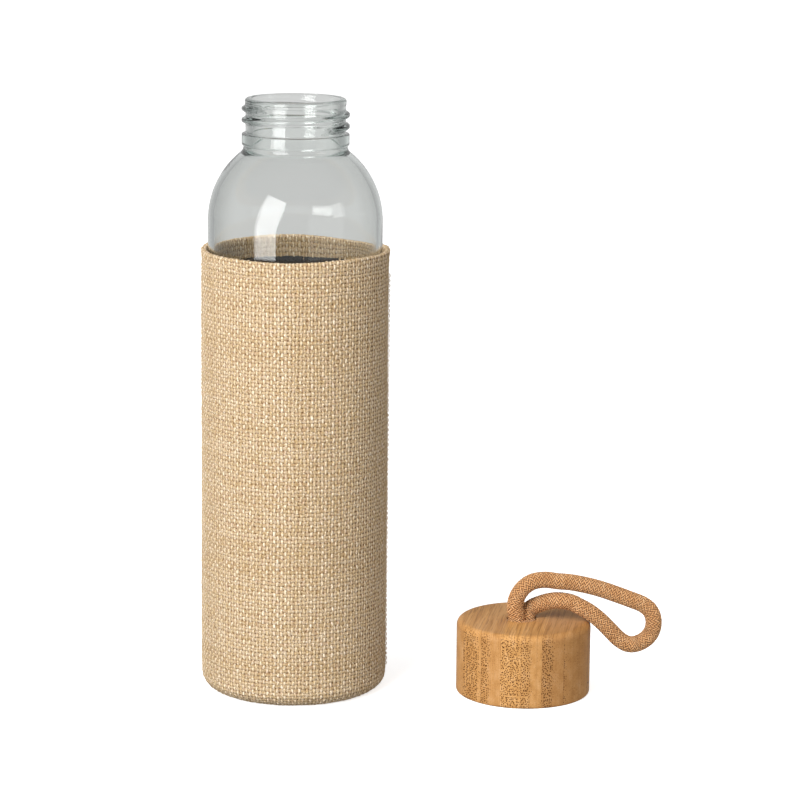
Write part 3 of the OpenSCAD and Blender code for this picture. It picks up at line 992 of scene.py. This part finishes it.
def liner_profile():
    """From the foot of its bore round the outside and over the top, then the ceiling and the bore."""
    foot, top = (corner.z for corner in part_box("cap_liner"))
    foot_cut, top_cut, ceiling_cut = 0.3 * MM, 0.4 * MM, 0.6 * MM
    return outline(
        (LINER_BORE_R + 0.4 * MM, foot), (LINER_R - foot_cut, foot), (LINER_R, foot + foot_cut),
        (LINER_R, top - top_cut), (LINER_R - top_cut, top), (0, top), (0, LINER_CEILING_Z),
        (LINER_BORE_R - ceiling_cut, LINER_CEILING_Z), (LINER_BORE_R, LINER_CEILING_Z - ceiling_cut),
        upright(LINER_BORE_R, LINER_CEILING_Z - 2 * ceiling_cut, foot + 0.5 * MM, 40))


liner = revolve("threaded_liner", liner_profile(), 128, centre=(CAP.x, CAP.y), shift=liner_shift)
dress(liner, plastic_material("moulded_liner", (0.86, 0.84, 0.78), 0.38), "cap", "liner", "cap_liner")

seal_low, seal_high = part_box("cap_seal")
seal_out = (seal_high.x - seal_low.x) / 2
seal_in = 14.25 * MM
seal_mid, seal_r = (seal_low.z + seal_high.z) / 2, (seal_high.z - seal_low.z) / 2
seal_profile = outline(
    arc(seal_out - seal_r, seal_mid, seal_r, -90, 90, 8),
    arc(seal_in + seal_r, seal_mid, seal_r, 90, 270, 8))
seal = revolve("silicone_seal", seal_profile, 128, centre=(CAP.x, CAP.y))
dress(seal, plastic_material("silicone", (0.80, 0.82, 0.82), 0.5), "seal", "silicone", "cap_seal")


def knot_tube():
    """The tied ends, as a turn of the same rope laid flat in the recess."""
    angle, side = full_turn(300), full_turn(ROPE_COLUMNS)
    turn_r = 5.6 * MM
    # A whole number of the braid's repeats, each four plaits long, so that its ends meet
    plaits = np.round(2 * np.pi * turn_r / PLAIT_LENGTH / 4) * 4 * angle / (2 * np.pi)
    relief = braid_height(side[None] / (2 * np.pi) * PLAITS, plaits[:, None])
    tube = ROPE_D / 2 + (relief - 1.0) * 0.28 * MM
    far = turn_r + tube * np.cos(side)[None]
    low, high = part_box("rope_knot")
    points = np.stack([
        CAP.x + ROPE_HOLE_X + far * np.cos(angle)[:, None], CAP.y + far * np.sin(angle)[:, None],
        (low.z + high.z) / 2 + tube * np.sin(side)[None]], -1)
    return surface("rope_knot_turn", points, np.linspace(0, PLAITS, ROPE_COLUMNS + 1),
                   np.append(plaits, plaits[-1] + plaits[1]), close_v=True)


def rope_plug():
    """The rope's fibres, pressed together where both strands pass through the hole."""
    top, edge, round_r = CAP_H - 0.1 * MM, ROPE_HOLE_R - 0.1 * MM, 0.6 * MM
    profile = outline(
        (0, ROPE_END_Z), (edge, ROPE_END_Z), arc(edge - round_r, top - round_r, round_r, 0, 90, 4),
        (0, top + 0.2 * MM))
    return revolve("rope_in_hole", profile, ROPE_COLUMNS, centre=(CAP.x + ROPE_HOLE_X, CAP.y), closed=False,
                   repeats=(2 * PLAITS, 1 / PLAIT_LENGTH))


knot = knot_tube()
dress(knot, rope_finish, "loop", "rope", "rope_knot")
plug = rope_plug()
dress(plug, rope_finish, "loop", "rope")


# ---------------------------------------------------------------- floor and light
def floor_material():
    t = Tree("pale_floor")
    tone = t.noise(t.position(), 3.0)
    return t.finish(t.ramp(tone, (0.3, 0.93), (0.7, 0.95)), 0.9, Specular_IOR_Level=0.1,
                    Emission_Color=(1, 1, 1, 1), Emission_Strength=0.65)


def make_floor():
    b = bmesh.new()
    bmesh.ops.create_grid(b, x_segments=24, y_segments=24, size=6)
    mesh = bpy.data.meshes.new("floor")
    b.to_mesh(mesh)
    b.free()
    floor = add_object("floor", mesh)
    floor.location.z = -0.05 * MM
    floor.data.materials.append(floor_material())
    floor.visible_glossy = floor.visible_transmission = floor.visible_diffuse = False


def area_light(name, azimuth, elevation, distance, width, height, radiance, roll=0.0, mirrored=True):
    """A soft light on the bottle from an azimuth: 0 is the front and positive is to the right."""
    data = bpy.data.lights.new(name, "AREA")
    data.shape, data.size, data.size_y = "RECTANGLE", width, height
    data.energy = math.pi * width * height * radiance
    light = add_object(name, data)
    a, e = math.radians(azimuth), math.radians(elevation)
    away = Vector((math.sin(a) * math.cos(e), -math.cos(a) * math.cos(e), math.sin(e)))
    light.location = Vector((0.0, 0, 0.17)) + away * distance
    light.rotation_mode = "QUATERNION"
    turn = Matrix.Rotation(math.radians(roll), 3, "Z").to_quaternion()
    light.rotation_quaternion = away.to_track_quat("Z", "Y") @ turn
    light.visible_glossy = light.visible_transmission = mirrored


def make_world():
    """A white backdrop behind the object, a darker room round it, and an even dim light."""
    world = bpy.data.worlds.new("studio")
    world.use_nodes = True
    t = Nodes(world.node_tree)
    rays = t.node("ShaderNodeLightPath")
    x, y, z = t.split(t.node("ShaderNodeTexCoord").outputs["Generated"])

    def choose(ray, otherwise, seen):
        """One strength for rays of the named kind, and another for all others."""
        n = t.node("ShaderNodeMix")
        t.put(rays.outputs[ray], n.inputs["Factor"])
        t.put(otherwise, n.inputs["A"])
        t.put(seen, n.inputs["B"])
        return n.outputs["Result"]

    reflected = t.times(t.step(y, 0.2, 0.9, 0.12, 0.66), t.step(z, 0.3, 0.6, 1.0, 0.5))
    # Through the glass: a pale grey room, brightest square on to the walls
    corner = t.size(t.times(t.times(x, y), 2.0))
    through = t.times(t.step(corner, 0.25, 0.9, 0.67, 0.40), t.step(z, 0.3, 0.8, 1.0, 0.7))
    lighting = t.times(t.step(y, -0.3, 0.8, 0.55, 0.34), t.step(z, -0.6, 0.1, 0.6, 1.0))
    strength = choose("Is Transmission Ray", reflected, through)
    strength = choose("Is Diffuse Ray", strength, lighting)
    strength = choose("Is Camera Ray", strength, 1.0)
    t.fix(t.nodes["Background"], Color=(1, 1, 1, 1))
    t.put(strength, t.nodes["Background"].inputs["Strength"])
    bpy.context.scene.world = world


def make_light():
    make_world()
    # Azimuth, elevation, distance, width, height and radiance of each
    area_light("key", -33.5, 10, 1.0, 0.53, 0.95, 4.9, roll=-15)
    area_light("key_high", -38, 36, 1.4, 0.9, 0.9, 7.2, mirrored=False)
    area_light("window_left", 34.5, 15.5, 1.6, 0.77, 0.42, 0.35)
    area_light("window_right", 62.5, 15.5, 1.6, 0.48, 0.42, 1.9)
    area_light("window_glow", 44, -3, 1.8, 1.7, 0.75, 0.5)
    area_light("fill", 62, 12, 1.4, 0.9, 0.9, 1.3, mirrored=False)
    bpy.context.scene.view_settings.view_transform = "Standard"


make_floor()
make_light()
